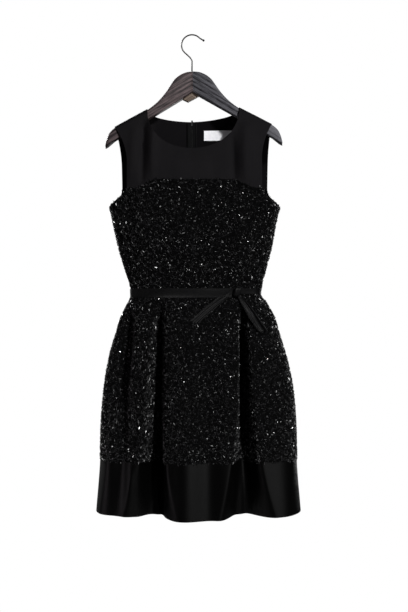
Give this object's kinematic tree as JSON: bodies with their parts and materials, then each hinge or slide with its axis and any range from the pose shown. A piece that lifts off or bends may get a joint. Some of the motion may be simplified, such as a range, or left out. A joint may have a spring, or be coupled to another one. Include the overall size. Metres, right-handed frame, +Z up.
{
  "type": "embroidered dress on a wooden hanger",
  "caption": "Sleeveless fit-and-flare dress with a plain yoke, beaded bodice and pleated skirt, ribbon belt and satin hem band, on a contoured wooden hanger.",
  "frame": {"origin": "the underside of the hook's arc, at its top, where a rail bears", "axes": "+X to the right of the front view, -Y the way the dress faces, +Z up"},
  "size_m": [0.468, 0.219, 1.0962],
  "materials": {
    "crepe": "matt black crepe",
    "beaded_cloth": "black cloth covered with beads and sequins",
    "satin": "soft black satin",
    "ribbon": "black satin ribbon",
    "tape": "woven black tape",
    "label": "plain white woven label",
    "black_metal": "black lacquer",
    "stained_wood": "dark grey stain, open grain",
    "wire": "darkened steel wire"
  },
  "bodies": {
    "dress": {"yoke_front": "crepe", "yoke_back_left": "crepe", "yoke_back_right": "crepe", "bodice_front": "beaded_cloth", "bodice_back_left": "beaded_cloth", "bodice_back_right": "beaded_cloth", "skirt_front": "beaded_cloth", "skirt_back_left": "beaded_cloth", "skirt_back_right": "beaded_cloth", "band_front": "satin", "band_back_left": "satin", "band_back_right": "satin", "belt": "ribbon", "belt_knot": "ribbon", "belt_tail_left": "ribbon", "belt_tail_right": "ribbon", "zip_tape": "tape", "label": "label", "neck_hook": "black_metal", "zip_slider": "black_metal", "hanger_arm_left": "stained_wood", "hanger_arm_right": "stained_wood", "hanger_hook": "wire"},
    "pull_tab": {"zip_pull": "black_metal"}
  },
  "joints": [
    {"name": "zip_pull_hinge", "type": "hinge", "parent": "dress", "child": "pull_tab", "pos_m": [0, 0.03157, -0.20285], "axis": [1, 0, 0], "range_deg": [0, 150]}
  ]
}
